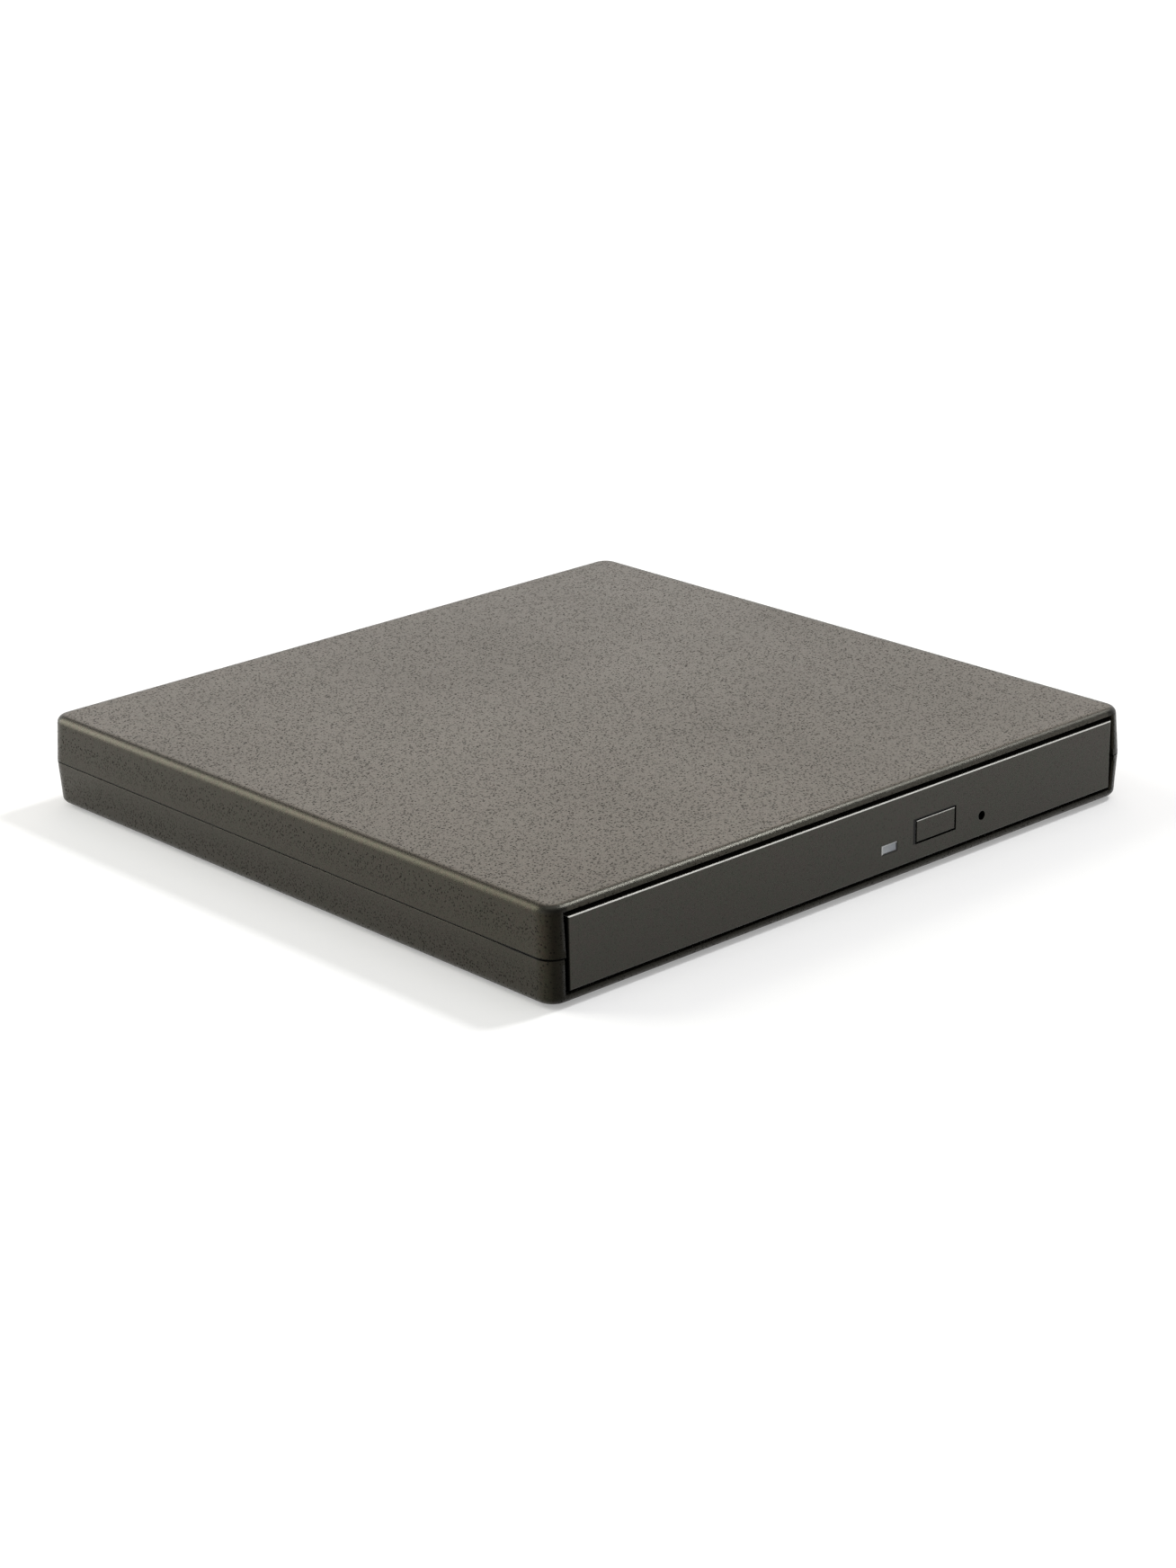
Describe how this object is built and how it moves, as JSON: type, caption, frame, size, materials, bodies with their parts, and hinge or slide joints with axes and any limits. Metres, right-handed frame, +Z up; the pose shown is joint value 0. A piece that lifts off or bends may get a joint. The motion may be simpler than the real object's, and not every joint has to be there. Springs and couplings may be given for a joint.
{
  "type": "external optical disc drive",
  "caption": "Slim external disc drive: flat two-shell case with a front tray on telescopic rails, button, lamp and pin hole.",
  "frame": {"origin": "middle of the case's outline, on the surface that the feet stand on", "axes": "+X to the right seen from the front, +Y from the front to the back, +Z up; the tray comes out along -Y"},
  "size_m": [0.136, 0.135, 0.017],
  "materials": {
    "case_plastic": "fine spark texture, satin",
    "bezel_plastic": "fine grain, matte",
    "button_plastic": "fine grain, matte",
    "lamp_window": "translucent",
    "foot_rubber": "matte",
    "screw_steel": "blackened",
    "sheet_steel": "zinc-plated, satin",
    "board": "solder mask, semi-gloss",
    "chip": "moulded epoxy",
    "connector_plastic": "satin",
    "connector_steel": "nickel-plated",
    "tray_plastic": "fine grain, matte",
    "rail_plastic": "acetal, satin",
    "rail_steel": "satin",
    "cover_paint": "matte black",
    "frame_steel": "zinc-plated",
    "rod_steel": "ground",
    "rotor_steel": "satin",
    "winding": "enamelled copper on lacquered iron",
    "bearing_brass": "satin",
    "damper_rubber": "matte",
    "hub_plastic": "satin",
    "pad_rubber": "matte",
    "sled_metal": "die-cast",
    "holder_plastic": "matte",
    "lens_glass": "coated",
    "cable_film": "polyimide film",
    "spring_steel": "bright",
    "lever_plastic": "acetal"
  },
  "bodies": {
    "case": {"case_top": "case_plastic", "case_bottom": "case_plastic", "case_feet": "foot_rubber", "case_screws": "screw_steel", "bridge_board": "board", "bridge_plug": "connector_plastic", "bridge_chips": "chip", "usb_socket_shell": "connector_steel", "usb_socket_tongue": "connector_plastic", "drive_chassis": "sheet_steel", "drive_lid": "sheet_steel", "drive_connector": "connector_plastic", "main_board": "board", "main_chips": "chip", "flex_connector": "connector_plastic", "flex_cable": "cable_film", "latch_post": "spring_steel", "rail_guide_left": "rail_plastic", "rail_guide_right": "rail_plastic"},
    "rail_left": {"slide_rail_left": "rail_steel"},
    "rail_right": {"slide_rail_right": "rail_steel"},
    "tray": {"tray": "tray_plastic", "bezel": "bezel_plastic", "eject_switch": "connector_plastic", "tray_board": "board", "status_lamp": "lamp_window", "lamp_diode": "lamp_window", "latch_pin": "spring_steel", "solenoid_yoke": "frame_steel", "solenoid_coil": "winding", "ejector_spring": "spring_steel", "traverse_frame": "frame_steel", "guide_rod_main": "rod_steel", "guide_rod_side": "rod_steel", "dampers": "damper_rubber", "traverse_cover": "cover_paint", "motor_bearing": "bearing_brass", "motor_stator": "winding", "sled_motor": "frame_steel"},
    "button": {"eject_button": "button_plastic"},
    "latch": {"latch_lever": "lever_plastic"},
    "plunger": {"solenoid_plunger": "rod_steel"},
    "ejector": {"ejector_slider": "lever_plastic"},
    "spindle": {"spindle_rotor": "rotor_steel", "chuck_hub": "hub_plastic", "disc_pad": "pad_rubber"},
    "claw_1": {"disc_claw_1": "hub_plastic"},
    "claw_2": {"disc_claw_2": "hub_plastic"},
    "claw_3": {"disc_claw_3": "hub_plastic"},
    "sled": {"pickup_sled": "sled_metal", "sled_nut": "lever_plastic"},
    "lens": {"lens_holder": "holder_plastic", "objective_lens": "lens_glass"},
    "lead_screw": {"lead_screw": "rod_steel"}
  },
  "joints": [
    {"name": "tray_slide", "type": "slide", "parent": "case", "child": "tray", "axis": [0, -1, 0], "range_m": [0, 0.126], "deforming": ["flex_cable"]},
    {"name": "rail_left_slide", "type": "slide", "parent": "case", "child": "rail_left", "axis": [0, -1, 0], "range_m": [0, 0.063]},
    {"name": "rail_right_slide", "type": "slide", "parent": "case", "child": "rail_right", "axis": [0, -1, 0], "range_m": [0, 0.063]},
    {"name": "button_press", "type": "slide", "parent": "tray", "child": "button", "axis": [0, 1, 0], "range_m": [0, 0.0008], "stiffness_N_per_m": 1500},
    {"name": "latch_swing", "type": "hinge", "parent": "tray", "child": "latch", "pos_m": [0.026, -0.058, 0.00643], "axis": [0, 0, 1], "range_deg": [-11, 0], "stiffness_Nm_per_rad": 0.002, "springref_deg": -11},
    {"name": "plunger_slide", "type": "slide", "parent": "tray", "child": "plunger", "axis": [1, 0, 0], "range_m": [0, 0.000729]},
    {"name": "ejector_slide", "type": "slide", "parent": "tray", "child": "ejector", "axis": [0, 1, 0], "range_m": [0, 0.008], "deforming": ["ejector_spring"]},
    {"name": "spindle_spin", "type": "hinge", "parent": "tray", "child": "spindle", "pos_m": [0, -0.002, 0.008], "axis": [0, 0, 1], "continuous": true},
    {"name": "claw_1_press", "type": "slide", "parent": "spindle", "child": "claw_1", "axis": [-0.2588, -0.9659, 0], "range_m": [-0.0005, 0], "stiffness_N_per_m": 2000},
    {"name": "claw_2_press", "type": "slide", "parent": "spindle", "child": "claw_2", "axis": [0.9659, 0.2588, 0], "range_m": [-0.0005, 0], "stiffness_N_per_m": 2000},
    {"name": "claw_3_press", "type": "slide", "parent": "spindle", "child": "claw_3", "axis": [-0.7071, 0.7071, 0], "range_m": [-0.0005, 0], "stiffness_N_per_m": 2000},
    {"name": "sled_slide", "type": "slide", "parent": "tray", "child": "sled", "axis": [-0.7071, -0.7071, 0], "range_m": [0, 0.0338]},
    {"name": "lead_screw_spin", "type": "hinge", "parent": "tray", "child": "lead_screw", "pos_m": [-0.00813, -0.03629, 0.0076], "axis": [-0.7071, -0.7071, 0], "range_deg": [0, 4056.5]},
    {"name": "lens_focus", "type": "slide", "parent": "sled", "child": "lens", "axis": [0, 0, 1], "range_m": [-0.0004, 0.0004], "stiffness_N_per_m": 40}
  ],
  "couplings": [
    {"joint": "rail_left_slide", "follows": "tray_slide", "ratio": 0.5},
    {"joint": "rail_right_slide", "follows": "tray_slide", "ratio": 0.5},
    {"joint": "ejector_slide", "follows": "tray_slide", "ratio": 0.063492},
    {"joint": "latch_swing", "follows": "plunger_slide", "rad_per_m": -263.16},
    {"joint": "lead_screw_spin", "follows": "sled_slide", "rad_per_m": 2094.4}
  ]
}
